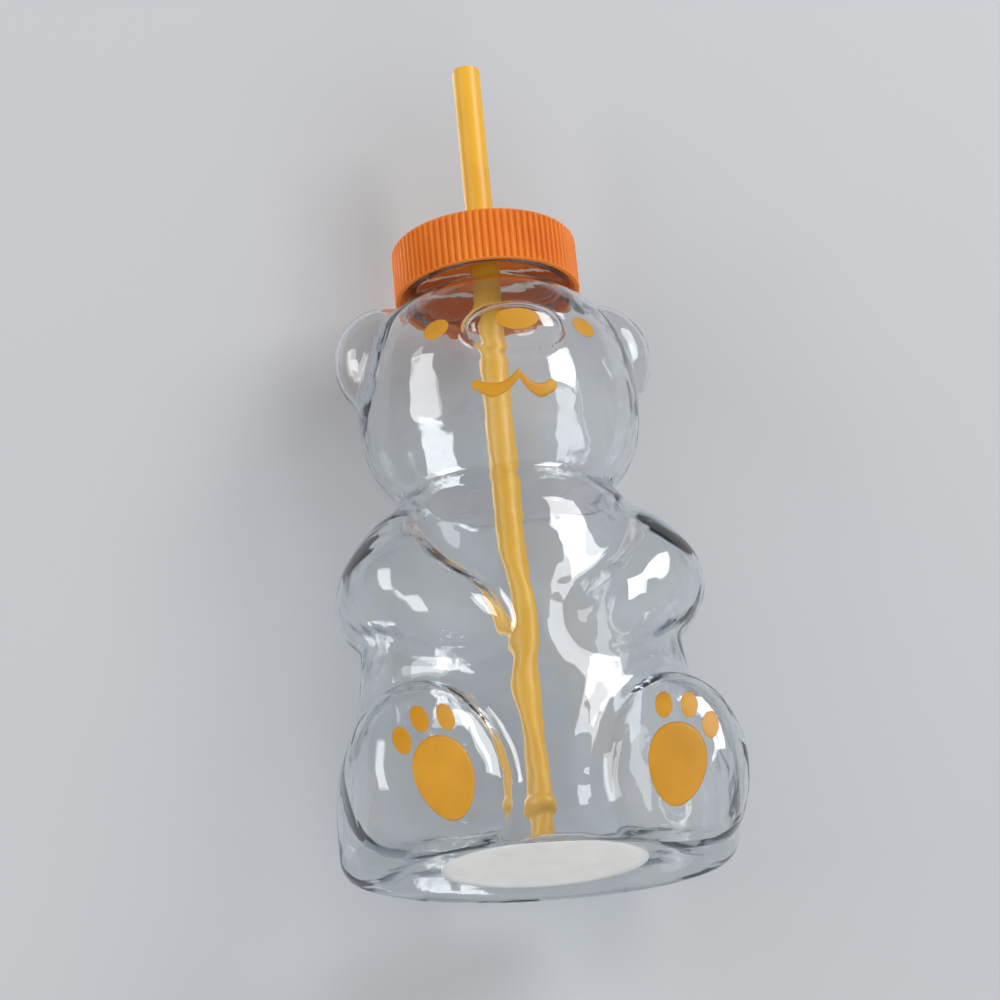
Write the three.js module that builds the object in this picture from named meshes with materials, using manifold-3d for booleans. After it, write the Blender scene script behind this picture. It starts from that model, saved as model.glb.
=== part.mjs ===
// Honey bear cup: a clear blow-moulded bear bottle, a ribbed screw lid with its sealing washer,
// and a hard straw that slides through the lid. Face and paw marks are thin ink films.
// Millimetres, +Z up. The bear faces -Y, its left side is +X, and it stands on z = 0 with the origin
// under the middle of its outer sizes. The functions below draw it about the axis of its neck.
import * as THREE from 'three';
import { mergeVertices } from 'three/addons/utils/BufferGeometryUtils.js';
import Module from 'manifold-3d';

const wasm = await Module();
wasm.setup();

// Bottle wall, and the gap between pieces that rest on one another
const WALL = 1.2;
const SEAT_GAP = 0.3;

// Torso sections from the base up
const BASE_EDGE = { z: 0, halfWidth: 46, halfDepth: 31 };
const BASE_ROUND = { z: 4, halfWidth: 51, halfDepth: 34 };
const HIPS = { z: 16, halfWidth: 53.7, halfDepth: 35.5 };
const THIGHS = { z: 36, halfWidth: 48.5, halfDepth: 35 };
const WAIST = { z: 57, halfWidth: 44.8, halfDepth: 34 };
const CHEST = { z: 82, halfWidth: 41.5, halfDepth: 32.5 };
const SHOULDERS = { z: 99, halfWidth: 35.5, halfDepth: 29 };
const COLLAR = { z: 112, halfWidth: 25, halfDepth: 22 };

// Head sections from inside the shoulders to the root of the neck
const NAPE = { z: 104, halfWidth: 23, halfDepth: 20 };
const JOWL = { z: 112, halfWidth: 32.6, halfDepth: 28.4 };
const CHEEKS = { z: 134, halfWidth: 39.6, halfDepth: 34.5 };
const BROW = { z: 150, halfWidth: 37.6, halfDepth: 33 };
const CROWN = { z: 161, halfWidth: 31, halfDepth: 28.8 };
const NECK_ROOT_Z = 166.5;

// Lobes of the bear. A sink is how far the middle of a lobe lies inside the side or front it grows from.
const EAR = { sideSink: 7.2, y: 0, z: 149.5, halfWidth: 15, halfDepth: 10, halfHeight: 17, bluntness: 2 };
const MUZZLE = { frontSink: 1.5, z: 144, halfWidth: 14, halfDepth: 7.8, halfHeight: 8.2, bluntness: 3 };
const UPPER_ARM = {
  sideSink: 6.9, frontSink: 27.5, z: 81.5, halfWidth: 15.6, halfDepth: 25, halfHeight: 20.5, bluntness: 2,
  egg: 0.3, splay: 10,
};
const FOREARM = {
  sideSink: 19.4, frontSink: 14, z: 67, halfWidth: 25, halfDepth: 15.5, halfHeight: 14.2, bluntness: 2,
  rise: 33, reach: 31,
};
const FOOT = {
  sideSink: 23.4, frontSink: 26.5, z: 17, halfWidth: 22.2, halfDepth: 31, halfHeight: 32.5, bluntness: 2.8,
  toeOut: 10,
};

// Hollow of the base, an oval push-up that holds the label
const PUSH_UP = { y: 0, halfWidth: 39, halfDepth: 26.5, height: 2.4, slope: 2.5 };

// Neck of the bottle
const NECK_OUTER_R = 23.8;
const NECK_WALL = 1.6;
const NECK_HEIGHT = 15.5;

// Screw lid
const LID_CLEARANCE = 1.2;
const LID_WALL = 1.5;
const LID_PANEL = 1.6;
const LID_SKIRT_GAP = 3.2;
const LID_RIBS = 84;
const LID_RIB_DEPTH = 0.55;
const LID_EDGE = 0.7;

// Sealing washer under the panel of the lid
const SEAL_THICKNESS = 1.2;
const SEAL_BAND = 3.4;

// Straw
const STRAW_OUTER_R = 4;
const STRAW_WALL = 0.8;
const STRAW_ABOVE_LID = 58.5;
const STRAW_HOLE_CLEARANCE = 0.4;
const BEAD_RISE = 1.3;
const BEAD_HEIGHT = 4.6;
const BEAD_FROM_END = 14.5;

// Ink films of the face and the soles
const INK_GAP = 0.2;
const INK_THICKNESS = 0.25;
const EYE = { x: 20.6, z: 146.8, halfWidth: 3.5, halfHeight: 2.65, tilt: -35 };
const NOSE = { z: 144.6, halfWidth: 6.1, halfHeight: 3.3, egg: 0.12 };
const MOUTH = { z: 127.8, halfWidth: 11.2, peak: 4.4, sag: 3, stroke: 3.2 };
const PAD = { z: 16.2, halfWidth: 7.7, halfHeight: 11.5, tilt: 11, egg: 0.14 };
const TOE = { halfWidth: 2.3, halfHeight: 3.9 };
const TOES = {
  inner: { across: -4.7, up: 15.9 },
  middle: { across: 2, up: 17 },
  outer: { across: 8, up: 12.3 },
};

// Blank oval label under the base
const LABEL = { y: 1, halfWidth: 27, halfDepth: 22.5, thickness: 0.25 };

// Facets of the round forms
const BODY_FACETS = 40;
const LOBE_FACETS = 20;
const ROUND_FACETS = 48;
const STRAW_FACETS = 24;
const CURVE_FACETS = 8;

// Places and radii that follow from the sizes above
const NECK_ROOT = { z: NECK_ROOT_Z, halfWidth: NECK_OUTER_R, halfDepth: NECK_OUTER_R };
const NECK_RIM_Z = NECK_ROOT_Z + NECK_HEIGHT;
const SEAL_Z = NECK_RIM_Z + SEAT_GAP;
const LID_UNDERSIDE_Z = SEAL_Z + SEAL_THICKNESS + SEAT_GAP;
const LID_TOP_Z = LID_UNDERSIDE_Z + LID_PANEL;
const LID_BOTTOM_Z = NECK_ROOT_Z + LID_SKIRT_GAP;
const LID_INNER_R = NECK_OUTER_R + LID_CLEARANCE;
const LID_OUTER_R = LID_INNER_R + LID_WALL;
const STRAW_HOLE_R = STRAW_OUTER_R + STRAW_HOLE_CLEARANCE;
const FLOOR_Z = PUSH_UP.height + WALL;
const STRAW_FOOT_Z = FLOOR_Z + SEAT_GAP;
const STRAW_TOP_Z = LID_TOP_Z + STRAW_ABOVE_LID;
const MUZZLE_Y = MUZZLE.frontSink - BROW.halfDepth;
const [FOOT_X, FOOT_Y] = seat(FOOT, HIPS, 1);
const PANEL_Z = PUSH_UP.height - SEAT_GAP - LABEL.thickness;
const FRONT_Y = -80;

const SIDES = { left: 1, right: -1 };

/** The place of a lobe that sinks into the side and front of a section. */
function seat({ sideSink, frontSink, z }, section, side) {
  return [side * (section.halfWidth - sideSink), frontSink - section.halfDepth, z];
}

/** Turns a closed geometry into a solid for joining and cutting. */
function solid(geometry) {
  const plain = geometry.clone();
  plain.deleteAttribute('normal');
  plain.deleteAttribute('uv');
  const merged = mergeVertices(plain, 1e-4);
  const index = merged.index.array;
  const triangles = [];
  for (let i = 0; i < index.length; i += 3) {
    const [a, b, c] = index.slice(i, i + 3);
    if (a !== b && b !== c && c !== a) {
      triangles.push(a, b, c);
    }
  }
  return new wasm.Manifold(new wasm.Mesh({
    numProp: 3,
    vertProperties: new Float32Array(merged.attributes.position.array),
    triVerts: new Uint32Array(triangles),
  }));
}

/** The geometry of a finished solid. */
function geometryOf(body) {
  const mesh = body.getMesh();
  const geometry = new THREE.BufferGeometry();
  geometry.setAttribute('position', new THREE.BufferAttribute(mesh.vertProperties.slice(), 3));
  geometry.setIndex(new THREE.BufferAttribute(mesh.triVerts.slice(), 1));
  geometry.computeVertexNormals();
  return geometry;
}

/** Revolves a profile of [radius, height] points about the Z axis. */
function revolve(profile, facets) {
  const points = profile.map(([radius, height]) => new THREE.Vector2(radius, height));
  return new THREE.LatheGeometry(points, facets).rotateX(Math.PI / 2);
}

/** A round block between two heights. */
function drum(radius, bottom, top, facets) {
  return revolve([[0, bottom], [radius, bottom], [radius, top], [0, top]], facets);
}

/** A smooth body through elliptical sections, drawn in by inset all round. */
function sectionBody(sections, inset, ringsPerSpan) {
  const spline = new THREE.CatmullRomCurve3(
    sections.map(({ z, halfWidth, halfDepth }) => new THREE.Vector3(halfWidth, halfDepth, z)),
  );
  const last = (sections.length - 1) * ringsPerSpan;
  const cuts = spline.getPoints(last);
  cuts[0].z += inset;
  cuts[last].z -= inset;
  const profile = [[0, cuts[0].z], ...cuts.map((cut) => [cut.x - inset, cut.z]), [0, cuts[last].z]];
  const body = revolve(profile, BODY_FACETS);
  const position = body.attributes.position;
  for (let i = 0; i < position.count; i += 1) {
    const ring = THREE.MathUtils.clamp(i % profile.length - 1, 0, last);
    const depthPerWidth = (cuts[ring].y - inset) / (cuts[ring].x - inset);
    position.setY(i, position.getY(i) * depthPerWidth);
  }
  return solid(body);
}

/** A rounded lobe, drawn in by inset. Bluntness above 2 flattens its front, egg widens its lower half. */
function lobe({ halfWidth, halfDepth, halfHeight, bluntness, egg = 0 }, inset) {
  const ball = new THREE.SphereGeometry(1, LOBE_FACETS, LOBE_FACETS / 2);
  const position = ball.attributes.position;
  const point = new THREE.Vector3();
  for (let i = 0; i < position.count; i += 1) {
    point.fromBufferAttribute(position, i);
    const rim = Math.hypot(point.x, point.z);
    point.multiplyScalar((rim ** bluntness + Math.abs(point.y) ** bluntness) ** (-1 / bluntness));
    const spread = 1 - egg * point.z;
    position.setXYZ(i, spread * point.x, spread * point.y, point.z);
  }
  return ball.scale(halfWidth - inset, halfDepth - inset, halfHeight - inset);
}

/** An oval slab between two heights, with sides that slope in towards the top. */
function ovalSlab({ y, halfWidth, halfDepth }, bottom, top, slope) {
  const profile = [[0, bottom], [halfWidth, bottom], [halfWidth - slope, top], [0, top]];
  return revolve(profile, ROUND_FACETS).scale(1, halfDepth / halfWidth, 1).translate(0, y, 0);
}

const torso = (inset) => sectionBody(
  [BASE_EDGE, BASE_ROUND, HIPS, THIGHS, WAIST, CHEST, SHOULDERS, COLLAR], inset, 2,
);

const head = (inset) => sectionBody([NAPE, JOWL, CHEEKS, BROW, CROWN, NECK_ROOT], inset, 2);

const muzzle = (inset) => solid(lobe(MUZZLE, inset).translate(0, MUZZLE_Y, MUZZLE.z));

const ear = (side, inset) => solid(
  lobe(EAR, inset).translate(side * (BROW.halfWidth - EAR.sideSink), EAR.y, EAR.z),
);

const upperArm = (side, inset) => solid(
  lobe(UPPER_ARM, inset)
    .rotateY(-side * THREE.MathUtils.degToRad(UPPER_ARM.splay))
    .translate(...seat(UPPER_ARM, CHEST, side)),
);

const forearm = (side, inset) => solid(
  lobe(FOREARM, inset)
    .rotateY(-side * THREE.MathUtils.degToRad(FOREARM.rise))
    .rotateZ(side * THREE.MathUtils.degToRad(FOREARM.reach))
    .translate(...seat(FOREARM, WAIST, side)),
);

const foot = (side, inset) => solid(
  lobe(FOOT, inset)
    .rotateZ(side * THREE.MathUtils.degToRad(FOOT.toeOut))
    .translate(...seat(FOOT, HIPS, side)),
);

/** The bear without its neck, drawn in by inset and cut flat at the base. */
function bearForm(inset) {
  let form = torso(inset).add(head(inset)).add(muzzle(inset));
  for (const side of Object.values(SIDES)) {
    form = form.add(ear(side, inset)).add(foot(side, inset));
    form = form.add(upperArm(side, inset)).add(forearm(side, inset));
  }
  const size = 4 * HIPS.halfWidth;
  const ground = new THREE.BoxGeometry(size, size, size).translate(0, 0, inset - size / 2);
  const grown = {
    y: PUSH_UP.y,
    halfWidth: PUSH_UP.halfWidth + inset,
    halfDepth: PUSH_UP.halfDepth + inset,
  };
  const pushUp = ovalSlab(grown, inset - size, PUSH_UP.height + inset, PUSH_UP.slope);
  return form.subtract(solid(ground)).subtract(solid(pushUp));
}

/** The bottle: the bear's shell with an open neck. */
function bottleBody() {
  const neck = revolve([
    [0, CROWN.z], [NECK_OUTER_R - WALL, CROWN.z], [NECK_OUTER_R, NECK_ROOT_Z - WALL],
    [NECK_OUTER_R, NECK_RIM_Z], [0, NECK_RIM_Z],
  ], ROUND_FACETS);
  const bore = drum(NECK_OUTER_R - NECK_WALL, BROW.z, LID_TOP_Z, ROUND_FACETS);
  return bearForm(0).add(solid(neck)).subtract(bearForm(WALL)).subtract(solid(bore));
}

/** The lid: a ribbed cap with a flat panel and a hole for the straw. */
function lidBody() {
  const corners = [];
  for (let rib = 0; rib < LID_RIBS; rib += 1) {
    for (const [share, sink] of [[0.1, LID_RIB_DEPTH], [0.35, 0], [0.65, 0], [0.9, LID_RIB_DEPTH]]) {
      const angle = 2 * Math.PI * (rib + share) / LID_RIBS;
      corners.push(new THREE.Vector2(LID_OUTER_R - sink, 0).rotateAround(new THREE.Vector2(), angle));
    }
  }
  const ribbed = new THREE.ExtrudeGeometry(new THREE.Shape(corners), {
    depth: LID_TOP_Z - LID_BOTTOM_Z, bevelEnabled: false,
  }).translate(0, 0, LID_BOTTOM_Z);
  const envelope = revolve([
    [0, LID_BOTTOM_Z], [LID_OUTER_R + LID_EDGE, LID_BOTTOM_Z],
    [LID_OUTER_R + LID_EDGE, LID_TOP_Z - 2 * LID_EDGE], [LID_OUTER_R - LID_EDGE, LID_TOP_Z], [0, LID_TOP_Z],
  ], ROUND_FACETS);
  const inside = drum(LID_INNER_R, NECK_ROOT_Z, LID_UNDERSIDE_Z, ROUND_FACETS);
  const hole = drum(STRAW_HOLE_R, NECK_ROOT_Z, LID_TOP_Z + LID_PANEL, STRAW_FACETS);
  return solid(ribbed).intersect(solid(envelope)).subtract(solid(inside)).subtract(solid(hole));
}

/** The straw: a tube with one moulded bead near its lower end. */
function strawGeometry() {
  const beadZ = STRAW_FOOT_Z + BEAD_FROM_END;
  const boreR = STRAW_OUTER_R - STRAW_WALL;
  const bead = [];
  for (let i = 0; i <= CURVE_FACETS; i += 1) {
    const angle = Math.PI * (i / CURVE_FACETS - 0.5);
    bead.push([STRAW_OUTER_R + BEAD_RISE * Math.cos(angle), beadZ + BEAD_HEIGHT / 2 * Math.sin(angle)]);
  }
  return revolve([
    [boreR, STRAW_FOOT_Z], [STRAW_OUTER_R, STRAW_FOOT_Z], ...bead,
    [STRAW_OUTER_R, STRAW_TOP_Z], [boreR, STRAW_TOP_Z], [boreR, STRAW_FOOT_Z],
  ], STRAW_FACETS);
}

/** The washer that seals the lid on the rim of the neck. */
function sealGeometry() {
  const outer = NECK_OUTER_R;
  const inner = outer - SEAL_BAND;
  const top = SEAL_Z + SEAL_THICKNESS;
  return revolve([
    [inner, SEAL_Z], [outer, SEAL_Z], [outer, top], [inner, top], [inner, SEAL_Z],
  ], ROUND_FACETS);
}

/** An oval outline in the front view, turned by tilt degrees, with egg making its upper half wider. */
function ovalOutline({ x, z, halfWidth, halfHeight, tilt = 0, egg = 0 }) {
  const points = [];
  const turn = THREE.MathUtils.degToRad(tilt);
  for (let i = 0; i < ROUND_FACETS / 2; i += 1) {
    const angle = 4 * Math.PI * i / ROUND_FACETS;
    const across = halfWidth * Math.cos(angle) * (1 + egg * Math.sin(angle));
    const up = halfHeight * Math.sin(angle);
    const place = new THREE.Vector2(across, up).rotateAround(new THREE.Vector2(), -turn);
    points.push(place.add(new THREE.Vector2(x, z)));
  }
  return new THREE.Shape(points);
}

/** The outline of the smile: two lobes that meet in a peak under the muzzle. */
function mouthOutline({ z, halfWidth, peak, sag, stroke }) {
  const outline = new THREE.Shape();
  const bend = halfWidth * 0.55;
  const tipRise = stroke / 2;
  outline.moveTo(0, z + peak);
  outline.quadraticCurveTo(bend, z - sag, halfWidth, z + tipRise);
  outline.quadraticCurveTo(halfWidth + stroke / 2, z, halfWidth - stroke / 4, z - tipRise);
  outline.quadraticCurveTo(bend, z - sag - stroke * 1.2, 0, z + peak - stroke);
  outline.quadraticCurveTo(-bend, z - sag - stroke * 1.2, -halfWidth + stroke / 4, z - tipRise);
  outline.quadraticCurveTo(-halfWidth - stroke / 2, z, -halfWidth, z + tipRise);
  outline.quadraticCurveTo(-bend, z - sag, 0, z + peak);
  return outline;
}

/** A thin ink film in an outline of the front view, just outside the part of a form before middleY. */
function inkFilm(outline, form, middleY) {
  const prism = new THREE.ExtrudeGeometry(outline, {
    depth: middleY - FRONT_Y, bevelEnabled: false, curveSegments: CURVE_FACETS,
  }).rotateX(Math.PI / 2).translate(0, middleY, 0);
  return geometryOf(solid(prism).intersect(form(-INK_GAP - INK_THICKNESS)).subtract(form(-INK_GAP)));
}

const material = (color, roughness, extra = {}) => new THREE.MeshStandardMaterial({
  color, roughness, metalness: 0, ...extra,
});

const cup = new THREE.Group();

function place(name, geometry, look) {
  const mesh = new THREE.Mesh(geometry, look);
  mesh.name = name;
  cup.add(mesh);
}

place('bottle', geometryOf(bottleBody()), material(0xe9f1f4, 0.05, { transparent: true, opacity: 0.3 }));
place('lid', geometryOf(lidBody()), material(0xec7a26, 0.5));
place('lid_seal', sealGeometry(), material(0xf2efe8, 0.6));
place('straw', strawGeometry(), material(0xeebe46, 0.42));

const ink = () => material(0xde9828, 0.45);
place('nose_print', inkFilm(ovalOutline({ ...NOSE, x: 0 }), muzzle, MUZZLE_Y), ink());
place('mouth_print', inkFilm(mouthOutline(MOUTH), head, 0), ink());
for (const [name, side] of Object.entries(SIDES)) {
  const eye = ovalOutline({ ...EYE, x: side * EYE.x, tilt: -side * EYE.tilt });
  place(`eye_print_${name}`, inkFilm(eye, head, 0), ink());
  const sole = (inset) => foot(side, inset);
  const tilt = side * PAD.tilt;
  const pad = ovalOutline({ ...PAD, x: side * FOOT_X, tilt });
  place(`paw_print_${name}`, inkFilm(pad, sole, FOOT_Y), ink());
  for (const [toe, { across, up }] of Object.entries(TOES)) {
    const offset = new THREE.Vector2(side * across, up)
      .rotateAround(new THREE.Vector2(), -THREE.MathUtils.degToRad(tilt));
    const mark = ovalOutline({ ...TOE, x: side * FOOT_X + offset.x, z: PAD.z + offset.y, tilt });
    place(`toe_print_${name}_${toe}`, inkFilm(mark, sole, FOOT_Y), ink());
  }
}

const labelSlab = ovalSlab(LABEL, PANEL_Z, PANEL_Z + LABEL.thickness, 0);
place('base_label', labelSlab, material(0xf3f3ee, 0.55));

const middle = new THREE.Box3().setFromObject(cup).getCenter(new THREE.Vector3());
for (const mesh of cup.children) {
  mesh.geometry.translate(0, -middle.y, 0);
}

export default cup;
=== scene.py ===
import math

import bpy
import numpy as np
from mathutils import Matrix, Vector


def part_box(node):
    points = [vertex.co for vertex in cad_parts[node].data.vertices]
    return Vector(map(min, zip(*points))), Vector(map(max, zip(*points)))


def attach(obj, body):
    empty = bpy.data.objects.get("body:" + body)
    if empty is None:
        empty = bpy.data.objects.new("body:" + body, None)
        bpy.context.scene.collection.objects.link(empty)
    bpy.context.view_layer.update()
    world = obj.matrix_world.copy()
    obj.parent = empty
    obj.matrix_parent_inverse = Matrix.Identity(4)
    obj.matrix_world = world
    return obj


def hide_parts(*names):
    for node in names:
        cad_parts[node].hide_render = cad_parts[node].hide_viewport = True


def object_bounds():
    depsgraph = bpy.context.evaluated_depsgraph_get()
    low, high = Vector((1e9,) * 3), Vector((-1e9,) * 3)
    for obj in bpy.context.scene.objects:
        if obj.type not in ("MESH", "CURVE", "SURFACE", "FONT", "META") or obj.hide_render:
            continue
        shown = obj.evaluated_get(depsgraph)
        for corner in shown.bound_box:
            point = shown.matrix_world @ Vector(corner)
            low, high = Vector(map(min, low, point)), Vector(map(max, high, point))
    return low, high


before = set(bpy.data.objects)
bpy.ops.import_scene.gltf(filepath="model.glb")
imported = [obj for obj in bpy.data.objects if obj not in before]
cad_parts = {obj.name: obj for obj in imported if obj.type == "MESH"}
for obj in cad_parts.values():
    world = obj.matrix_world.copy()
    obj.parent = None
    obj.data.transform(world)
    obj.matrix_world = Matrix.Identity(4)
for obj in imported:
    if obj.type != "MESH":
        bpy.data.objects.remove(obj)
cad_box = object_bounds()

# Shapes are drawn in millimetres about the axis of the neck, which stands behind the frame's origin.
MM = 0.001
straw_low, straw_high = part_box("straw")
AXIS_Y = (straw_low.y + straw_high.y) / 2
SIDES = {"left": 1, "right": -1}

# Bear: sections (z, half width, half depth)
TORSO = np.array([
    (-8, 52.2, 34.6), (16, 53.7, 35.5), (36, 48.5, 35), (57, 44.8, 34), (82, 41.5, 32.5),
    (99, 35.5, 29), (112, 25, 22), (118, 17, 15),
])
HEAD = np.array([
    (98, 12, 10), (104, 23, 20), (112, 32.6, 28.4), (134, 39.6, 34.5), (150, 37.6, 33), (161, 31, 28.8),
    (166.5, 23.8, 23.8), (171, 16, 16),
])

# Neck: a cylinder that starts inside the head. The bear's mesh ends at BEAR_TOP_Z, and rings go on from NECK_LOW_Z.
NECK_R = 23.8
NECK_BORE_R = 22.2
NECK_START_Z = 158.5
BEAR_TOP_Z = 170.2
NECK_LOW_Z = BEAR_TOP_Z + 0.6
RIM_Z = 182.0
LIP_HEIGHT = 0.9
# The rounded lip: steps (in from the wall, down from the rim), first outside and then in the bore
LIP_OUTSIDE = ((0.08, 0.45), (0.3, 0.15), (0.65, 0))
LIP_INSIDE = ((0.55, 0), (0.25, 0.15), (0.05, 0.45))
NECK_COLUMNS = 192
NECK_ROWS = 32
BORE_ROWS = 8

# Thickness of the shell, and how much it grows within a distance of the creases
SHELL_WALL = 1.0
CREASE_RISE = 0.65
CREASE_WIDTH = 7.5

# Lobes of the left side: middle, half sizes, bluntness along Y, egg (narrower at the top), turns about Y and Z in
# degrees
EAR = dict(at=(30.4, 0, 149.5), half=(15, 10, 17), blunt=2.0, egg=0, turn=(0, 0))
MUZZLE = dict(at=(0, -31.5, 144), half=(14, 7.8, 8.2), blunt=3.0, egg=0, turn=(0, 0))
UPPER_ARM = dict(at=(33.2, -5, 81.8), half=(15.5, 25, 20.5), blunt=2.0, egg=0.34, turn=(12, 0))
FOREARM = dict(at=(25.2, -20, 68), half=(25, 15.5, 14.4), blunt=2.0, egg=0, turn=(36, 31))
FOOT = dict(at=(30.1, -9, 17), half=(23.2, 31, 30.4), blunt=3.6, egg=0, turn=(-14, 0))
EGG_REACH = 1.3

# Widths of the rounding where two forms meet
BLEND = dict(
    neckline=2.5, neck=3.0, ear=2.0, muzzle=1.8, elbow=6.0, arm=2.2, foot=2.2, base=6.5, push_up=3.0,
    push_up_roof=1.5,
)

# Hollow of the base: half sizes at the bottom, height, and how much it narrows over that height
PUSH_UP = dict(half=(39, 26.5), height=2.4, slope=2.5)

# Mesh of the bear: the box it is searched in, its spacing, and how it is evened out
NET_LOW, NET_HIGH = (-58, -43, -2.3), (58, 38.5, BEAR_TOP_Z)
VOXEL = 1.28
RELAX_ROUNDS = 3
SNAPS_PER_ROUND = 2
LONGEST_SNAP = 0.6
LEAST_STEEPNESS = 0.05

# Limits that keep divisions from failing
SMALL = 1e-4
TINY = 1e-6

# Screw thread: FADE and CREST say how fast it rises along its length and across its width
PITCH = 4.0
THREAD_TURNS = 1.25
THREAD_LAPS = 3
THREAD_WIDTH = 1.7
THREAD_HEIGHT = 0.85
THREAD_FADE = 9
THREAD_CREST = 1.6
NECK_THREAD_Z = 173.2
LID_THREAD_Z = 171.2

# Lid
LID_INNER_R = 25.0
LID_OUTER_R = 26.5
LID_BOTTOM_Z = 169.7
LID_UNDER_Z = 183.8
LID_TOP_Z = 185.4
STRAW_HOLE_R = 4.4
LID_ROUND = dict(hole=0.4, top=1.0, edge=0.35, inside=0.6, hole_under=0.3)
# The top: rings (radius, depth), with a fine groove near the edge
LID_TOP_RINGS = ((7, 0), (14, 0), (21.6, 0), (22.1, 0.06), (22.5, 0.22), (22.9, 0.06), (23.4, 0))
LID_UNDER_RINGS = (18, 10)
LID_THREAD_ROWS = 34
LID_THREAD_GAPS = (0.7, 0.8)
# Ribs: they start below the top, are full after RIB_RUN, and fade near the edge in steps (height, share)
LID_RIBS = 84
COLUMNS_PER_RIB = 10
RIB_ROWS = 12
RIB_DEPTH = 0.85
RIB_GROOVE_POWER = 1.4
RIB_START = 0.1
RIB_RUN = 0.7
RIB_TOP = 1.6
RIB_FOOT = 1.0
RIB_FADE = ((0.75, 0.85), (0.55, 0.6))
RIB_SHARE_AT_EDGE = 0.45

# Washer in the lid
WASHER = dict(inner=20.4, outer=23.8, low=182.3, high=183.5, soft=0.3)
WASHER_COLUMNS = 128

# Straw
STRAW_R = 4.0
STRAW_BORE_R = 3.2
STRAW_FOOT_Z = 3.9
STRAW_TOP_Z = 243.9
BEAD_Z = 18.4
BEAD_RISE = 1.3
BEAD_HALF = 2.3
BEAD_POWER = 0.62
BEAD_ROWS = 17
BEAD_GAP = 0.6
STRAW_ROUND = 0.25
STRAW_BORE_ROUND = 0.2
STRAW_END = 0.8
STRAW_FOOT = 2
STRAW_FOOT_ROWS = 6
STRAW_ROWS = 24
STRAW_COLUMNS = 64

# Prints in the front view: ovals by middle, half sizes, tilt in degrees and egg (wider at the top)
EYE = dict(x=20.6, z=146.8, half=(3.5, 2.65), tilt=-35)
NOSE = dict(x=0, z=144.6, half=(6.1, 3.3), tilt=0, egg=0.12)
PAW_AT = {"left": (30.3, 16.2), "right": (30.7, 14.9)}
PAD = dict(half=(7.7, 11.5), tilt=11, egg=0.14)
TOE_HALF = (2.3, 3.9)
TOES = {"inner": (-4.7, 15.9), "middle": (2, 17), "outer": (8, 12.3)}
OVAL_RINGS = 9
OVAL_COLUMNS = 56
OVAL_FIRST = 0.004

# Mouth: the middle line's peak and sag about z, and half thicknesses along it up to the tip of each side
MOUTH = dict(z=127.6, peak=3.0, sag=4.4)
MOUTH_SIDES = {"left": dict(width=8.4, tip=2.0, rise=-0.7), "right": dict(width=11.3, tip=1.6, rise=0.1)}
MOUTH_PLACES, MOUTH_HALF = (0, 0.35, 0.7, 1), (1.4, 1.6, 2.0)
MOUTH_STEPS = 26
MOUTH_ACROSS = 5
TIP_ANGLES = (15, 82)
TIP_STEPS = 7
TIP_LIFT = 0.25

# Ink films: their lift off the shell and thickness, and the steps from in front of the bear on to its shell
INK_LIFT = 0.02
INK_THICKNESS = 0.1
MARCH_FROM_Y = -50.0
MARCH_STEPS = 90
MARCH_SHARE = 0.8

# Label under the base
LABEL = dict(x=1, y=1, half=(28, 22.5), top=2.36, thickness=0.12)
LABEL_RINGS = 6
LABEL_COLUMNS = 96
LABEL_FIRST = 0.002


def spline(knots, values):
    """A natural cubic through the knots, as a function of z that gives value and slope."""
    h = np.diff(knots)
    n = len(knots)
    lines, right = np.eye(n), np.zeros(n)
    for i in range(1, n - 1):
        lines[i, i - 1:i + 2] = h[i - 1], 2 * (h[i - 1] + h[i]), h[i]
        right[i] = 6 * ((values[i + 1] - values[i]) / h[i] - (values[i] - values[i - 1]) / h[i - 1])
    bend = np.linalg.solve(lines, right)

    def at(z):
        z = np.clip(z, knots[0], knots[-1])
        i = np.clip(np.searchsorted(knots, z) - 1, 0, n - 2)
        w, a, b = h[i], knots[i + 1] - z, z - knots[i]
        left, rest = values[i] / w - bend[i] * w / 6, values[i + 1] / w - bend[i + 1] * w / 6
        value = (bend[i] * a ** 3 + bend[i + 1] * b ** 3) / (6 * w) + left * a + rest * b
        slope = (bend[i + 1] * b ** 2 - bend[i] * a ** 2) / (2 * w) - left + rest
        return value, slope

    return at


def section_body(table):
    """Distance to a body of elliptical sections."""
    wide, deep = spline(table[:, 0], table[:, 1]), spline(table[:, 0], table[:, 2])

    def distance(p):
        x, y, z = p[:, 0], p[:, 1], p[:, 2]
        (a, da), (b, db) = wide(z), deep(z)
        k = np.maximum(np.hypot(x / a, y / b), SMALL)
        gz = x * x * da / a ** 3 + y * y * db / b ** 3
        slope = np.sqrt((x / a ** 2) ** 2 + (y / b ** 2) ** 2 + gz ** 2) / k
        d = (k - 1) / np.maximum(slope, SMALL)
        return np.maximum(d, np.maximum(z - table[-1, 0], table[0, 0] - z))

    return distance


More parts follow.
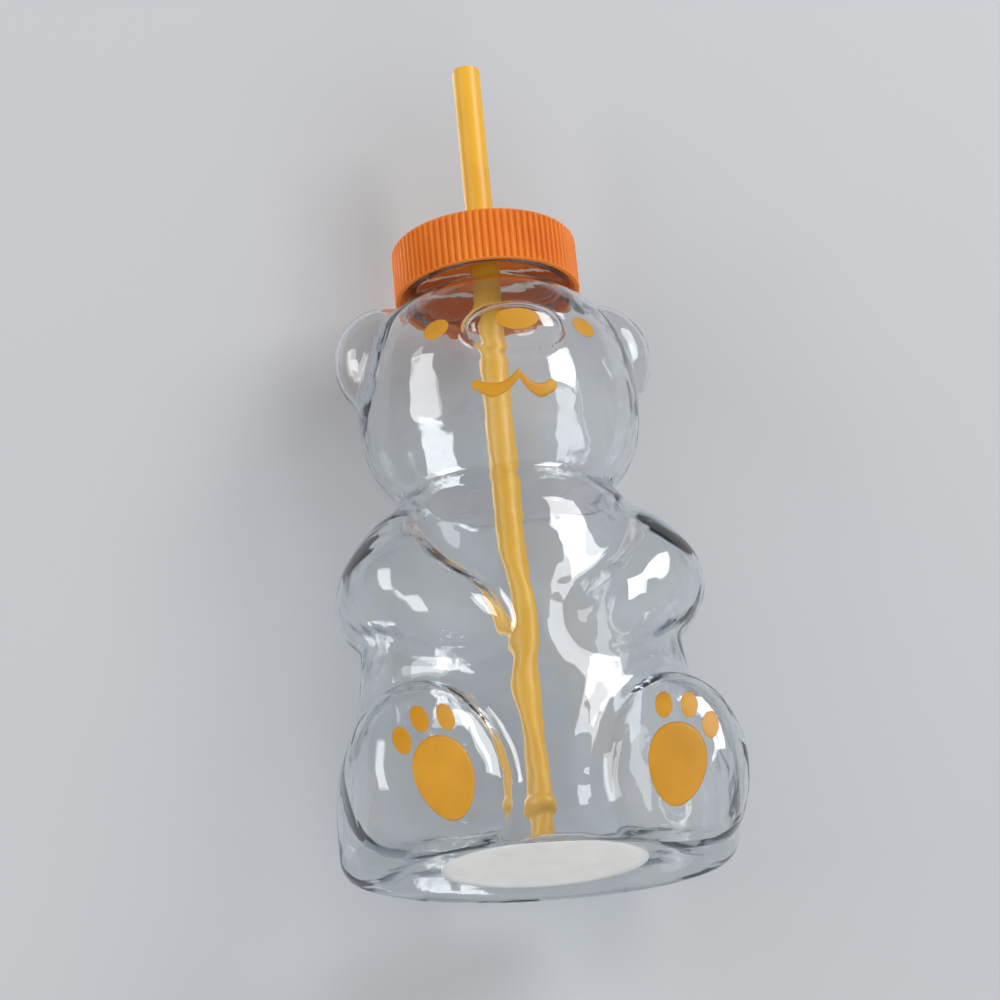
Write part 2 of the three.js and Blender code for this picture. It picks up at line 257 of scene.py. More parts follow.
def lobe(shape, side):
    """Distance to a rounded lobe of the bear's left or right side."""
    about_y, about_z = (math.radians(a) for a in shape["turn"])
    turn = np.array(Matrix.Rotation(side * about_z, 3, "Z") @ Matrix.Rotation(-side * about_y, 3, "Y"))
    middle = np.array(shape["at"]) * (side, 1, 1)
    half, blunt, egg = np.array(shape["half"], float), shape["blunt"], shape["egg"]

    def distance(p):
        q = (p - middle) @ turn / half
        spread = 1 - egg * np.clip(q[:, 2], -EGG_REACH, EGG_REACH)
        qx, qy, qz = q[:, 0] / spread, np.abs(q[:, 1]) / spread, q[:, 2]
        rim = np.maximum(np.hypot(qx, qz), TINY)
        size = np.maximum((rim ** blunt + qy ** blunt) ** (1 / blunt), TINY)
        by_rim, by_y = (rim / size) ** (blunt - 1), (qy / size) ** (blunt - 1)
        gx, gy = by_rim * qx / rim / spread / half[0], by_y / spread / half[1]
        gz = (by_rim * (qz + qx * qx * egg / spread) / rim + by_y * qy * egg / spread) / half[2]
        return (size - 1) / np.maximum(np.sqrt(gx ** 2 + gy ** 2 + gz ** 2), SMALL)

    return distance


def smooth_min(a, b, width):
    """The lesser of two distances, rounded where they are nearly equal."""
    share = np.maximum(width - np.abs(a - b), 0) / width
    return np.minimum(a, b) - share * share * width / 4


def smooth_max(a, b, width):
    return -smooth_min(-a, -b, width)


torso, head, muzzle = section_body(TORSO), section_body(HEAD), lobe(MUZZLE, 1)
LOBES = [
    (lobe(EAR, s), lobe(UPPER_ARM, s), lobe(FOREARM, s), lobe(FOOT, s)) for s in SIDES.values()
]


def bear(p):
    """Distance to the outside of the bottle, with the neck running on upwards."""
    d = smooth_min(torso(p), head(p), BLEND["neckline"])
    neck = np.maximum(np.hypot(p[:, 0], p[:, 1]) - NECK_R, NECK_START_Z - p[:, 2])
    d = smooth_min(d, neck, BLEND["neck"])
    d = smooth_min(d, muzzle(p), BLEND["muzzle"])
    for ear, upper_arm, forearm, foot in LOBES:
        d = smooth_min(d, ear(p), BLEND["ear"])
        d = smooth_min(d, smooth_min(upper_arm(p), forearm(p), BLEND["elbow"]), BLEND["arm"])
        d = smooth_min(d, foot(p), BLEND["foot"])
    d = smooth_max(d, -p[:, 2], BLEND["base"])
    narrower = PUSH_UP["slope"] * p[:, 2] / PUSH_UP["height"]
    a, b = PUSH_UP["half"][0] - narrower, PUSH_UP["half"][1] - narrower
    k = np.maximum(np.hypot(p[:, 0] / a, p[:, 1] / b), SMALL)
    oval = (k - 1) * np.minimum(a, b)
    hollow = smooth_max(oval, p[:, 2] - PUSH_UP["height"], BLEND["push_up_roof"])
    return smooth_max(d, -hollow, BLEND["push_up"])


def crease(p):
    """How near a point of the outside is to a crease between two forms: 1 in it, 0 well away."""
    d, other = torso(p), head(p)
    near = CREASE_WIDTH - np.abs(d - other)
    d = np.minimum(d, other)
    for ear, upper_arm, forearm, foot in LOBES:
        for other in (ear(p), smooth_min(upper_arm(p), forearm(p), BLEND["elbow"]), foot(p)):
            near = np.maximum(near, CREASE_WIDTH - np.abs(d - other))
            d = np.minimum(d, other)
    near = np.clip(near / CREASE_WIDTH, 0, 1)
    return near * near * (3 - 2 * near)


def slope_of(field, p, h=0.02):
    """The slope of a field by differences."""
    steps = np.eye(3) * h
    return np.stack([(field(p + s) - field(p - s)) / (2 * h) for s in steps], 1)


def unit(v):
    return v / np.maximum(np.linalg.norm(v, axis=1, keepdims=True), TINY)


def surface_net(field, low, high, step):
    """Quads on the zero surface of a field: one vertex in each cell that the surface crosses."""
    axes = [np.arange(a, b + step, step) for a, b in zip(low, high)]
    grid = np.stack(np.meshgrid(*axes, indexing="ij"), -1)
    shape = grid.shape[:3]
    values = field(grid.reshape(-1, 3)).reshape(shape)
    cells = tuple(n - 1 for n in shape)
    total, count = np.zeros(cells + (3,)), np.zeros(cells)
    crossings = []
    for axis in range(3):
        first = [slice(None)] * 3
        second = [slice(None)] * 3
        first[axis], second[axis] = slice(0, -1), slice(1, None)
        a, b = values[tuple(first)], values[tuple(second)]
        cross = (a < 0) != (b < 0)
        share = np.where(cross, a / np.where(cross, a - b, 1), 0)
        point = grid[tuple(first)].copy()
        point[..., axis] += share * step
        crossings.append((cross, a < 0))
        for i in (0, 1):
            for j in (0, 1):
                cut = [slice(0, n) for n in cells]
                others = [k for k in range(3) if k != axis]
                cut[others[0]] = slice(i, i + cells[others[0]])
                cut[others[1]] = slice(j, j + cells[others[1]])
                hit = cross[tuple(cut)]
                total += np.where(hit[..., None], point[tuple(cut)], 0)
                count += hit
    used = count > 0
    number = np.full(cells, -1)
    number[used] = np.arange(used.sum())
    vertices = total[used] / count[used][:, None]
    quads = []
    for axis, (cross, inside) in enumerate(crossings):
        others = [k for k in range(3) if k != axis]
        i = np.argwhere(cross)
        keep = np.all([(i[:, k] >= 1) & (i[:, k] <= cells[k] - 1) for k in others], axis=0)
        i = i[keep]
        corners = []
        for da, db in ((1, 1), (0, 1), (0, 0), (1, 0)):
            c = i.copy()
            c[:, others[0]] -= da
            c[:, others[1]] -= db
            corners.append(number[tuple(c.T)])
        quad = np.stack(corners, 1)
        flip = inside[tuple(i.T)] == (axis == 1)
        quad[flip] = quad[flip][:, ::-1]
        quads.append(quad)
    quads = np.concatenate(quads)
    named = np.unique(quads)
    lookup = np.full(len(vertices), -1)
    lookup[named] = np.arange(len(named))
    return vertices[named], lookup[quads]


def border_loop(quads):
    """The vertices along the one open edge of a mesh, in order."""
    edges = np.concatenate([quads[:, [i, (i + 1) % 4]] for i in range(4)])
    both = {(a, b) for a, b in edges.tolist()}
    after = {a: b for a, b in both if (b, a) not in both}
    start = next(iter(after))
    loop = [start]
    while after[loop[-1]] != start:
        loop.append(after[loop[-1]])
    return np.array(loop)


def relax(vertices, quads, fixed):
    """Evens out the mesh by moving each vertex half way to the middle of its neighbours."""
    total, count = np.zeros_like(vertices), np.zeros(len(vertices))
    for i in range(4):
        a, b = quads[:, i], quads[:, (i + 1) % 4]
        np.add.at(total, a, vertices[b])
        np.add.at(total, b, vertices[a])
        np.add.at(count, a, 1)
        np.add.at(count, b, 1)
    moved = (vertices + total / count[:, None]) / 2
    moved[fixed] = vertices[fixed]
    return moved


def zipper(low, high, vertices):
    """Triangles between two rings about the axis, each in order of rising angle."""
    low = low[np.argsort(np.arctan2(vertices[low, 1], vertices[low, 0]))]
    high = high[np.argsort(np.arctan2(vertices[high, 1], vertices[high, 0]))]
    a = np.arctan2(vertices[low, 1], vertices[low, 0])
    b = np.arctan2(vertices[high, 1], vertices[high, 0])
    a, b = np.append(a, a[0] + 2 * math.pi), np.append(b, b[0] + 2 * math.pi)
    i = j = 0
    faces = []
    while i < len(low) or j < len(high):
        p, q = low[i % len(low)], high[j % len(high)]
        if j == len(high) or (i < len(low) and a[i + 1] <= b[j + 1]):
            faces.append((p, low[(i + 1) % len(low)], q))
            i += 1
        else:
            faces.append((p, high[(j + 1) % len(high)], q))
            j += 1
    return faces


def thread(angle, z, first_z):
    """Height of a one-start thread that begins at first_z and fades out at both ends."""
    total = np.zeros(np.broadcast(angle, z).shape)
    for lap in range(THREAD_LAPS):
        along = angle + 2 * math.pi * lap
        share = along / (2 * math.pi * THREAD_TURNS)
        middle = first_z + PITCH * along / (2 * math.pi)
        fade = np.clip(np.minimum(share, 1 - share) * THREAD_FADE, 0, 1)
        ridge = np.clip(1 - np.abs(z - middle) / (THREAD_WIDTH / 2), 0, 1)
        total = np.maximum(total, fade * np.minimum(ridge * THREAD_CREST, 1))
    return total * THREAD_HEIGHT


def ring_faces(rows, columns, offset=0):
    """Quads between rows of points that each close on themselves."""
    r, c = np.meshgrid(np.arange(rows - 1), np.arange(columns), indexing="ij")
    nxt = (c + 1) % columns
    low, high = r * columns, (r + 1) * columns
    return np.stack([low + c, low + nxt, high + nxt, high + c], -1).reshape(-1, 4) + offset


def turns(columns):
    """Angles of the columns round a ring."""
    return np.linspace(0, 2 * math.pi, columns, endpoint=False)


def around(radius, z, angle):
    """Points of a ring about the axis."""
    return np.stack(np.broadcast_arrays(radius * np.cos(angle), radius * np.sin(angle), z), -1)


def add_piece(name, vertices, faces, body, slot, nodes, material):
    """A mesh piece in place of CAD nodes. Vertices are in millimetres about the axis of the neck."""
    mesh = bpy.data.meshes.new(name)
    points = np.asarray(vertices, float) * MM + (0, AXIS_Y, 0)
    mesh.from_pydata(points.tolist(), [], [list(map(int, f)) for f in faces])
    mesh.update()
    mesh.polygons.foreach_set("use_smooth", [True] * len(mesh.polygons))
    mesh.materials.append(material)
    piece = bpy.data.objects.new(name, mesh)
    bpy.context.scene.collection.objects.link(piece)
    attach(piece, body)
    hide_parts(*nodes)


def bottle_mesh():
    """The clear shell: a bear of one wall with an open threaded neck."""
    points, quads = surface_net(bear, NET_LOW, NET_HIGH, VOXEL)
    loop = border_loop(quads)
    for _ in range(RELAX_ROUNDS):
        points = relax(points, quads, loop)
        for _ in range(SNAPS_PER_ROUND):
            slope = slope_of(bear, points)
            steepness = np.maximum((slope ** 2).sum(1, keepdims=True), LEAST_STEEPNESS)
            points = points - np.clip(bear(points)[:, None] * slope / steepness, -LONGEST_SNAP, LONGEST_SNAP)
    ring = points[loop]
    points[loop] = around(NECK_R, BEAR_TOP_Z, np.arctan2(ring[:, 1], ring[:, 0]))
    thickness = SHELL_WALL + CREASE_RISE * crease(points)
    inner = points - thickness[:, None] * unit(slope_of(bear, points))
    inner[loop, 2] = BEAR_TOP_Z

    angle = turns(NECK_COLUMNS)
    lip_z = RIM_Z - LIP_HEIGHT
    rows = []
    for z in np.linspace(NECK_LOW_Z, lip_z, NECK_ROWS):
        rows.append(around(NECK_R + thread(angle, z, NECK_THREAD_Z), z, angle))
    rows += [around(NECK_R - inset, RIM_Z - drop, angle) for inset, drop in LIP_OUTSIDE]
    rows += [around(NECK_BORE_R + inset, RIM_Z - drop, angle) for inset, drop in LIP_INSIDE]
    rows += [around(NECK_BORE_R, z, angle) for z in np.linspace(lip_z, NECK_LOW_Z, BORE_ROWS)]

    vertices = np.concatenate([points, inner, *rows])
    count = len(points)
    start = 2 * count
    first = np.arange(NECK_COLUMNS) + start
    last = first + NECK_COLUMNS * (len(rows) - 1)
    faces = quads.tolist() + (quads[:, ::-1] + count).tolist()
    faces += ring_faces(len(rows), NECK_COLUMNS, start).tolist()
    faces += zipper(loop, first, vertices)
    faces += [face[::-1] for face in zipper(loop + count, last, vertices)]
    return vertices, faces


def closed_rings(rows, columns):
    """Vertices and faces of rings whose last one joins on to the first."""
    return np.concatenate(rows), ring_faces(len(rows) + 1, columns) % (len(rows) * columns)


def lathe(profile, columns):
    """A closed ring from a closed profile of (radius, z) points."""
    angle = turns(columns)
    return closed_rings([around(r, z, angle) for r, z in profile], columns)


def rounded(r, z, radius, towards, angles, steps=5):
    """Points (r, z) of a rounded corner, whose arc has its middle towards these ways from the sharp corner."""
    middle_r, middle_z = r + towards[0] * radius, z + towards[1] * radius
    turn = np.radians(np.linspace(*angles, steps))
    return [(middle_r + radius * math.cos(t), middle_z + radius * math.sin(t)) for t in turn]


def lid_mesh():
    """The lid: a cap with rounded ribs down to its edge, a hole for the straw and a thread inside."""
    columns = LID_RIBS * COLUMNS_PER_RIB
    angle = turns(columns)
    groove = RIB_DEPTH * (0.5 - 0.5 * np.cos(LID_RIBS * angle)) ** RIB_GROOVE_POWER
    rows = []

    def add(profile, share=0.0):
        """Rings (radius, z), cut by a share of the grooves between the ribs."""
        rows.extend(around(r - share * groove, z, angle) for r, z in profile)

    add(rounded(STRAW_HOLE_R, LID_TOP_Z, LID_ROUND["hole"], (1, -1), (180, 90)))
    add([(r, LID_TOP_Z - depth) for r, depth in LID_TOP_RINGS])
    for r, z in rounded(LID_OUTER_R, LID_TOP_Z, LID_ROUND["top"], (-1, -1), (90, 0), 8):
        add([(r, z)], np.clip((LID_TOP_Z - RIB_START - z) / RIB_RUN, 0, 1))
    add([(LID_OUTER_R, z) for z in np.linspace(LID_TOP_Z - RIB_TOP, LID_BOTTOM_Z + RIB_FOOT, RIB_ROWS)], 1.0)
    for height, share in RIB_FADE:
        add([(LID_OUTER_R, LID_BOTTOM_Z + height)], share)
    add(rounded(LID_OUTER_R, LID_BOTTOM_Z, LID_ROUND["edge"], (-1, 1), (0, -90)), RIB_SHARE_AT_EDGE)
    add(rounded(LID_INNER_R, LID_BOTTOM_Z, LID_ROUND["edge"], (1, 1), (-90, -180)))
    for z in np.linspace(LID_BOTTOM_Z + LID_THREAD_GAPS[0], LID_UNDER_Z - LID_THREAD_GAPS[1], LID_THREAD_ROWS):
        rows.append(around(LID_INNER_R - thread(angle, z, LID_THREAD_Z), z, angle))
    add(rounded(LID_INNER_R, LID_UNDER_Z, LID_ROUND["inside"], (-1, -1), (0, 90)))
    add([(r, LID_UNDER_Z) for r in LID_UNDER_RINGS])
    add(rounded(STRAW_HOLE_R, LID_UNDER_Z, LID_ROUND["hole_under"], (1, 1), (270, 180), 4))
    vertices, faces = closed_rings(rows, columns)
    return vertices, faces[:, ::-1]


def straw_mesh():
    """The straw: a tube with rounded ends and a moulded bead."""
    bead_low, bead_high = BEAD_Z - BEAD_HALF - BEAD_GAP, BEAD_Z + BEAD_HALF + BEAD_GAP
    foot_end, top_end = STRAW_FOOT_Z + STRAW_END, STRAW_TOP_Z - STRAW_END
    profile = rounded(STRAW_R, STRAW_FOOT_Z, STRAW_ROUND, (-1, 1), (-90, 0), 4)
    profile += [(STRAW_R, z) for z in np.linspace(STRAW_FOOT_Z + STRAW_FOOT, bead_low, STRAW_FOOT_ROWS)]
    for t in np.linspace(-1, 1, BEAD_ROWS):
        rise = BEAD_RISE * max(0.0, 1 - t * t) ** BEAD_POWER
        profile.append((STRAW_R + rise, BEAD_Z + BEAD_HALF * t))
    profile += [(STRAW_R, z) for z in np.linspace(bead_high, top_end, STRAW_ROWS)]
    profile += rounded(STRAW_R, STRAW_TOP_Z, STRAW_ROUND, (-1, -1), (0, 90), 4)
    profile += rounded(STRAW_BORE_R, STRAW_TOP_Z, STRAW_BORE_ROUND, (1, -1), (90, 180), 4)
    profile += [(STRAW_BORE_R, z) for z in np.linspace(top_end, foot_end, STRAW_ROWS)]
    profile += rounded(STRAW_BORE_R, STRAW_FOOT_Z, STRAW_BORE_ROUND, (1, 1), (180, 270), 4)
    return lathe(profile, STRAW_COLUMNS)


def washer_mesh():
    """The sealing washer: a flat ring with soft edges."""
    inner, outer, low, high, soft = (WASHER[k] for k in ("inner", "outer", "low", "high", "soft"))
    profile = rounded(outer, low, soft, (-1, 1), (-90, 0)) + rounded(outer, high, soft, (-1, -1), (0, 90))
    profile += rounded(inner, high, soft, (1, -1), (90, 180)) + rounded(inner, low, soft, (1, 1), (180, 270))
    return lathe(profile, WASHER_COLUMNS)


def front_of(xz):
    """Points on the front of the bear at places of the front view."""
    p = np.stack([xz[:, 0], np.full(len(xz), MARCH_FROM_Y), xz[:, 1]], 1)
    for _ in range(MARCH_STEPS):
        p[:, 1] += MARCH_SHARE * bear(p)
    return p


def film(grid):
    """The top and the bottom of a thin film on the bear's front over a grid of front-view places."""
    p = front_of(grid.reshape(-1, 2))
    n = unit(slope_of(bear, p))
    return p + n * (INK_LIFT + INK_THICKNESS), p + n * INK_LIFT


def oval_grid(x, z, half, tilt, egg=0.0):
    """Front-view places on rings of an oval."""
    share = np.sqrt(np.linspace(OVAL_FIRST, 1, OVAL_RINGS))[:, None]
    turn = turns(OVAL_COLUMNS)[None]
    across = half[0] * share * np.cos(turn) * (1 + egg * share * np.sin(turn))
    up = half[1] * share * np.sin(turn)
    c, s = math.cos(math.radians(tilt)), math.sin(math.radians(tilt))
    return np.stack([x + across * c + up * s, z - across * s + up * c], -1)


def disc(top, bottom, rings, columns):
    """Vertices and faces of a closed disc between two sheets of rings."""
    count = rings * columns
    ring = ring_faces(rings, columns)
    faces = ring.tolist() + (ring[:, ::-1] + count).tolist()
    faces.append(list(range(columns - 1, -1, -1)))
    faces.append([count + c for c in range(columns)])
    edge = (rings - 1) * columns
    for c in range(columns):
        d = (c + 1) % columns
        faces.append([edge + c, edge + d, count + edge + d, count + edge + c])
    return np.concatenate([top, bottom]), [f[::-1] for f in faces]


def oval_film(grid):
    """Vertices and faces of an oval film."""
    return disc(*film(grid), *grid.shape[:2])


def mouth_grid():
    """The smile as a strip: two lobes that meet in a peak, thicker outwards and round at the tips."""
    t = np.linspace(0, 1, MOUTH_STEPS)
    cap = np.radians(np.linspace(*TIP_ANGLES, TIP_STEPS))
    across = np.linspace(-1, 1, MOUTH_ACROSS)[None]
    strips = {}
    for side_name, side in SIDES.items():
        width, tip, rise = (MOUTH_SIDES[side_name][k] for k in ("width", "tip", "rise"))
        z = MOUTH["z"] + (1 - t) ** 2 * MOUTH["peak"] - 2 * t * (1 - t) * MOUTH["sag"] + t * t * rise
        thick = np.interp(t, MOUTH_PLACES, MOUTH_HALF + (tip,))
        x = np.append(t * width, width + tip * np.sin(cap))
        z = np.append(z, MOUTH["z"] + rise + TIP_LIFT * tip * np.sin(cap))
        thick = np.append(thick, tip * np.cos(cap))
        x = np.repeat(side * x[:, None], MOUTH_ACROSS, 1)
        strips[side_name] = np.stack([x, z[:, None] + thick[:, None] * across], -1)
    return np.concatenate([strips["right"][:0:-1], strips["left"]])


def strip_film(grid):
    """Vertices and faces of a film on an open strip."""
    rows, columns = grid.shape[:2]
    count = rows * columns
    number = np.arange(count).reshape(rows, columns)
    corners = number[:-1, :-1], number[1:, :-1], number[1:, 1:], number[:-1, 1:]
    quads = np.stack(corners, -1).reshape(-1, 4)
    faces = quads.tolist() + (quads[:, ::-1] + count).tolist()
    rim = [k * columns for k in range(rows)] + [(rows - 1) * columns + k for k in range(1, columns)]
    rim += [k * columns + columns - 1 for k in range(rows - 2, -1, -1)] + list(range(columns - 2, 0, -1))
    for a, b in zip(rim, rim[1:] + rim[:1]):
        faces.append([b, a, a + count, b + count])
    return np.concatenate(film(grid)), faces


def label_mesh():
    """The blank oval label in the hollow of the base."""
    turn = turns(LABEL_COLUMNS)
    rows = []
    for share in np.sqrt(np.linspace(LABEL_FIRST, 1, LABEL_RINGS)):
        rows.append(np.stack([
            LABEL["x"] + LABEL["half"][0] * share * np.cos(turn),
            LABEL["y"] + LABEL["half"][1] * share * np.sin(turn),
            np.full(LABEL_COLUMNS, LABEL["top"]),
        ], 1))
    top = np.concatenate(rows)
    return disc(top, top - (0, 0, LABEL["thickness"]), LABEL_RINGS, LABEL_COLUMNS)


def new_material(name):
    """A material with a Principled shader on its surface."""
    material = bpy.data.materials.new(name)
    material.use_nodes = True
    tree = material.node_tree
    tree.nodes.clear()
    out = tree.nodes.new("ShaderNodeOutputMaterial")
    shader = tree.nodes.new("ShaderNodeBsdfPrincipled")
    tree.links.new(shader.outputs["BSDF"], out.inputs["Surface"])
    return material, tree, shader


def noise(tree, scale, detail=3.0, rough=0.5):
    """Noise in the object's own space."""
    place = tree.nodes.new("ShaderNodeTexCoord")
    texture = tree.nodes.new("ShaderNodeTexNoise")
    texture.inputs["Scale"].default_value = scale
    texture.inputs["Detail"].default_value = detail
    texture.inputs["Roughness"].default_value = rough
    tree.links.new(place.outputs["Object"], texture.inputs["Vector"])
    return texture.outputs["Fac"]


def ramp(tree, factor, stops):
    """Colours along a factor."""
    node = tree.nodes.new("ShaderNodeValToRGB")
    for _ in range(len(stops) - 2):
        node.color_ramp.elements.new(0.5)
    for element, (place, colour) in zip(node.color_ramp.elements, stops):
        element.position = place
        element.color = colour
    tree.links.new(factor, node.inputs["Fac"])
    return node.outputs["Color"]


def level(tree, factor, low, high):
    """A factor from 0 to 1 as a value from low to high."""
    node = tree.nodes.new("ShaderNodeMapRange")
    node.inputs["To Min"].default_value = low
    node.inputs["To Max"].default_value = high
    tree.links.new(factor, node.inputs["Value"])
    return node.outputs["Result"]


def bump(tree, shader, height, strength, distance):
    """Relief on a shader's surface."""
    node = tree.nodes.new("ShaderNodeBump")
    node.inputs["Strength"].default_value = strength
    node.inputs["Distance"].default_value = distance
    tree.links.new(height, node.inputs["Height"])
    tree.links.new(node.outputs["Normal"], shader.inputs["Normal"])


def linear(*rgb):
    """A colour written in 0 to 255 as the shader takes it."""
    values = [c / 255 for c in rgb]
    return tuple(c / 12.92 if c <= 0.04045 else ((c + 0.055) / 1.055) ** 2.4 for c in values) + (1.0,)


GLOSS_SCALE = 6
SKIN_SCALE = 22
SKIN_HEIGHT = 0.0002


def plastic(name, dark, pale, grain, rough, relief, glow=0.0, gloss=0.5):
    """A moulded plastic, ink or paper with a slight mottle, uneven gloss and a fine skin."""
    material, tree, shader = new_material(name)
    colour = ramp(tree, noise(tree, grain, 4), [(0.3, dark), (0.7, pale)])
    tree.links.new(colour, shader.inputs["Base Color"])
    tree.links.new(level(tree, noise(tree, grain * GLOSS_SCALE, 3), *rough), shader.inputs["Roughness"])
    bump(tree, shader, noise(tree, grain * SKIN_SCALE, 4, 0.6), relief, SKIN_HEIGHT)
    shader.inputs["IOR"].default_value = 1.49
    shader.inputs["Specular IOR Level"].default_value = gloss
    shader.inputs["Subsurface Weight"].default_value = 0.3
    shader.inputs["Subsurface Radius"].default_value = (0.003, 0.0015, 0.0006)
    shader.inputs["Subsurface Scale"].default_value = glow
    return material


def clear_material():
    """Clear blow-moulded plastic with a faintly wavy skin, which lets light through to what lies behind it."""
    material, tree, shader = new_material("clear_shell")
    tints = [(0.3, (0.965, 0.978, 0.985, 1)), (0.7, (0.985, 0.992, 0.996, 1))]
    tree.links.new(ramp(tree, noise(tree, 30, 2), tints), shader.inputs["Base Color"])
    tree.links.new(level(tree, noise(tree, 120, 3), 0.0, 0.035), shader.inputs["Roughness"])
    bump(tree, shader, noise(tree, 60, 2.2, 0.45), 0.2, 0.004)
    shader.inputs["IOR"].default_value = 1.57
    shader.inputs["Transmission Weight"].default_value = 1.0
    out = tree.nodes["Material Output"]
    ray = tree.nodes.new("ShaderNodeLightPath")
    through = tree.nodes.new("ShaderNodeBsdfTransparent")
    through.inputs["Color"].default_value = (0.96, 0.97, 0.975, 1)
    surface = shader.outputs["BSDF"]
    for kind in ("Is Shadow Ray", "Is Diffuse Ray"):
        mix = tree.nodes.new("ShaderNodeMixShader")
        tree.links.new(ray.outputs[kind], mix.inputs["Fac"])
        tree.links.new(surface, mix.inputs[1])
        tree.links.new(through.outputs["BSDF"], mix.inputs[2])
        surface = mix.outputs["Shader"]
    tree.links.new(surface, out.inputs["Surface"])
    depth = tree.nodes.new("ShaderNodeVolumeAbsorption")
    depth.inputs["Color"].default_value = (0.74, 0.78, 0.82, 1)
    depth.inputs["Density"].default_value = 170
    tree.links.new(depth.outputs["Volume"], out.inputs["Volume"])
    return material


clear = clear_material()
orange = plastic(
    "lid_orange", linear(215, 110, 14), linear(229, 129, 30), grain=60, rough=(0.42, 0.54), relief=0.12, glow=1.0,
    gloss=0.35,
)
yellow = plastic(
    "straw_yellow", linear(226, 168, 36), linear(236, 182, 52), grain=45, rough=(0.34, 0.46), relief=0.1, glow=0.4,
)
white_foam = plastic(
    "washer_white", linear(236, 232, 222), linear(246, 243, 236), grain=160, rough=(0.6, 0.75), relief=0.3,
)
ink = plastic(
    "print_ochre", linear(190, 132, 14), linear(204, 146, 26), grain=90, rough=(0.36, 0.5), relief=0.08, glow=0.05,
)
paper = plastic(
    "label_white", linear(240, 240, 236), linear(248, 248, 245), grain=120, rough=(0.42, 0.55), relief=0.08,
)

add_piece("bear_shell", *bottle_mesh(), "bottle", "clear_shell", ["bottle"], clear)
add_piece("screw_lid", *lid_mesh(), "lid", "lid_plastic", ["lid"], orange)
add_piece("sealing_washer", *washer_mesh(), "washer", "washer_foam", ["lid_seal"], white_foam)
add_piece("drinking_straw", *straw_mesh(), "straw", "straw_plastic", ["straw"], yellow)
add_piece("blank_label", *label_mesh(), "bottle", "label_film", ["base_label"], paper)
add_piece("nose_mark", *oval_film(oval_grid(**NOSE)), "bottle", "print_ink", ["nose_print"], ink)
add_piece("mouth_mark", *strip_film(mouth_grid()), "bottle", "print_ink", ["mouth_print"], ink)
for side_name, side in SIDES.items():
    tilt = side * PAD["tilt"]
    cos, sin = math.cos(math.radians(tilt)), math.sin(math.radians(tilt))
    paw_x, paw_z = PAW_AT[side_name]
    eye = oval_grid(side * EYE["x"], EYE["z"], EYE["half"], -side * EYE["tilt"])
    pad = oval_grid(side * paw_x, paw_z, PAD["half"], tilt, PAD["egg"])
    add_piece(f"eye_mark_{side_name}", *oval_film(eye), "bottle", "print_ink", [f"eye_print_{side_name}"], ink)
    add_piece(f"paw_mark_{side_name}", *oval_film(pad), "bottle", "print_ink", [f"paw_print_{side_name}"], ink)
    for toe, (across, up) in TOES.items():
        x = side * paw_x + side * across * cos + up * sin
        z = paw_z - side * across * sin + up * cos
        add_piece(
            f"toe_mark_{side_name}_{toe}", *oval_film(oval_grid(x, z, TOE_HALF, tilt)), "bottle", "print_ink",
            [f"toe_print_{side_name}_{toe}"], ink,
        )

# Studio, in metres
FLOOR_TONE = (0.6, 0.61, 0.63, 1)
BACKDROP_TONE = (0.52, 0.53, 0.55, 1)
FLOOR_FADE = (0.45, 1.1)
BACKDROP_FADE = (0.26, 0.65)
BACKDROP_GAP = 0.0005
STAGE_REACH = 1.3
CENTRE = (0, 0, 0.11)
SKY_TINT = (0.98, 0.99, 1)
SKY_TONES = ((0, 0.5), (0.46, 0.55), (0.56, 0.55), (0.74, 0.24), (1, 0.2))


def stage_material(name, colour, clear_from, clear_to):
    """A pale surface that is seen from its front only and fades out with distance from its middle."""
    material = bpy.data.materials.new(name)
    material.use_nodes = True
    tree = material.node_tree
    tree.nodes.clear()
    out = tree.nodes.new("ShaderNodeOutputMaterial")
    mix = tree.nodes.new("ShaderNodeMixShader")
    side = tree.nodes.new("ShaderNodeNewGeometry")
    place = tree.nodes.new("ShaderNodeTexCoord")
    distance = tree.nodes.new("ShaderNodeVectorMath")
    distance.operation = "LENGTH"
    fade = tree.nodes.new("ShaderNodeMapRange")
    fade.interpolation_type = "SMOOTHSTEP"
    fade.inputs["From Min"].default_value = clear_from
    fade.inputs["From Max"].default_value = clear_to
    either = tree.nodes.new("ShaderNodeMath")
    either.operation = "MAXIMUM"
    matt = tree.nodes.new("ShaderNodeBsdfDiffuse")
    through = tree.nodes.new("ShaderNodeBsdfTransparent")
    matt.inputs["Color"].default_value = colour
    tree.links.new(place.outputs["Object"], distance.inputs[0])
    tree.links.new(distance.outputs["Value"], fade.inputs["Value"])
    tree.links.new(side.outputs["Backfacing"], either.inputs[0])
    tree.links.new(fade.outputs["Result"], either.inputs[1])
    tree.links.new(either.outputs["Value"], mix.inputs["Fac"])
    tree.links.new(matt.outputs["BSDF"], mix.inputs[1])
    tree.links.new(through.outputs["BSDF"], mix.inputs[2])
    tree.links.new(mix.outputs["Shader"], out.inputs["Surface"])
    return material


def add_stage(name, place, turn, material):
    """A square of pale ground or backdrop that throws no shadow and no light on the object."""
    mesh = bpy.data.meshes.new(name)
    corners = [(x * STAGE_REACH, y * STAGE_REACH, 0) for x, y in ((-1, -1), (1, -1), (1, 1), (-1, 1))]
    mesh.from_pydata(corners, [], [range(4)])
    mesh.materials.append(material)
    plane = bpy.data.objects.new(name, mesh)
    plane.location = place
    plane.rotation_euler = (turn, 0, 0)
    plane.visible_shadow = False
    plane.visible_diffuse = False
    bpy.context.scene.collection.objects.link(plane)


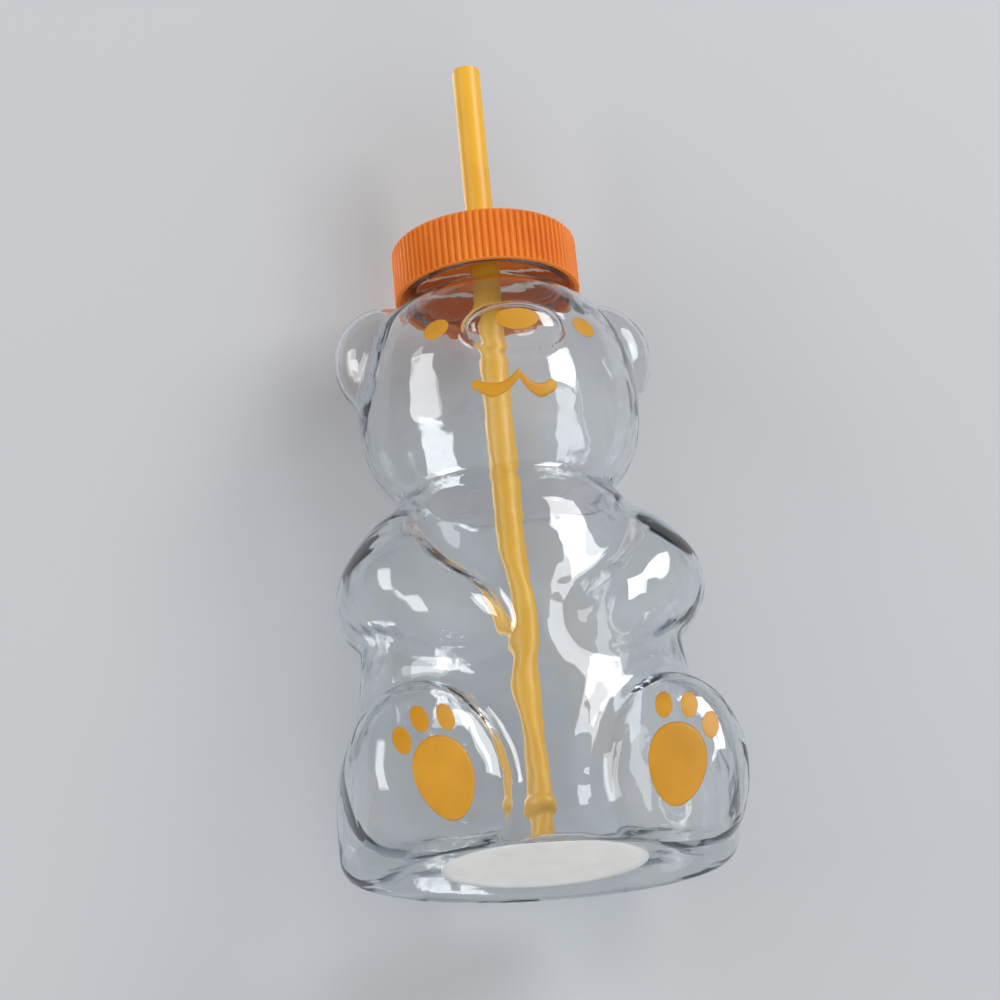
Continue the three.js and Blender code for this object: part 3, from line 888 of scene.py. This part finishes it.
def add_lamp(name, place, size, power):
    """A soft white lamp that points at the middle of the object."""
    lamp = bpy.data.lights.new(name, "AREA")
    lamp.shape = "RECTANGLE"
    lamp.size, lamp.size_y = size
    lamp.energy = power
    holder = bpy.data.objects.new(name, lamp)
    holder.location = place
    holder.rotation_euler = (Vector(CENTRE) - Vector(place)).to_track_quat("-Z", "Y").to_euler()
    bpy.context.scene.collection.objects.link(holder)


add_stage("floor", (0, 0, 0), 0, stage_material("floor_pale", FLOOR_TONE, *FLOOR_FADE))
back_y = cad_box[1].y + BACKDROP_GAP
backdrop = stage_material("wall_pale", BACKDROP_TONE, *BACKDROP_FADE)
add_stage("wall", (0, back_y, CENTRE[2]), math.pi / 2, backdrop)

add_lamp("key", (0.75, -0.8, 0.75), (0.5, 0.8), 10)
add_lamp("fill", (-0.95, -0.5, 0.3), (0.4, 0.9), 5)
add_lamp("under", (0.2, -0.7, -0.8), (0.8, 0.35), 3.5)
add_lamp("rear", (-0.5, 0.95, 0.7), (0.3, 0.6), 6)

# The surroundings are pale round the horizon and below it, and darker above.
world = bpy.data.worlds.new("studio")
world.use_nodes = True
sky = world.node_tree
direction = sky.nodes.new("ShaderNodeTexCoord")
parts = sky.nodes.new("ShaderNodeSeparateXYZ")
sky.links.new(direction.outputs["Generated"], parts.inputs["Vector"])
height = sky.nodes.new("ShaderNodeMapRange")
height.inputs["From Min"].default_value = -1
sky.links.new(parts.outputs["Z"], height.inputs["Value"])
stops = [(place, tuple(c * tone for c in SKY_TINT) + (1,)) for place, tone in SKY_TONES]
sky_colour = ramp(sky, height.outputs["Result"], stops)
sky.links.new(sky_colour, sky.nodes["Background"].inputs["Color"])
bpy.context.scene.world = world

# Camera at the photograph's viewing angle, with its slight roll
AZIMUTH, ELEVATION, ROLL = math.radians(-10.75), math.radians(-21.9), math.radians(-5.48)
CAMERA_DISTANCE = 0.9
LENS, SENSOR = 116.2, 36
CLIP = (0.01, 20)
target = Vector((-0.002, AXIS_Y, 0.1074))
back = Vector((
    math.sin(AZIMUTH) * math.cos(ELEVATION), -math.cos(AZIMUTH) * math.cos(ELEVATION), math.sin(ELEVATION),
))
right = Vector((math.cos(AZIMUTH), math.sin(AZIMUTH), 0))
up = back.cross(right)
rolled_right = math.cos(ROLL) * right + math.sin(ROLL) * up
rolled_up = -math.sin(ROLL) * right + math.cos(ROLL) * up
camera_data = bpy.data.cameras.new("camera")
camera_data.lens = LENS
camera_data.sensor_width = SENSOR
camera_data.clip_start, camera_data.clip_end = CLIP
camera = bpy.data.objects.new("camera", camera_data)
turned = Matrix((rolled_right, rolled_up, back)).transposed().to_4x4()
camera.matrix_world = Matrix.Translation(target + back * CAMERA_DISTANCE) @ turned
bpy.context.scene.collection.objects.link(camera)
bpy.context.scene.camera = camera

bpy.context.scene.view_settings.view_transform = "Standard"
# Rays pass many walls of the clear shell.
bpy.context.scene.cycles.max_bounces = 24
bpy.context.scene.cycles.transmission_bounces = 24
bpy.context.scene.cycles.glossy_bounces = 12
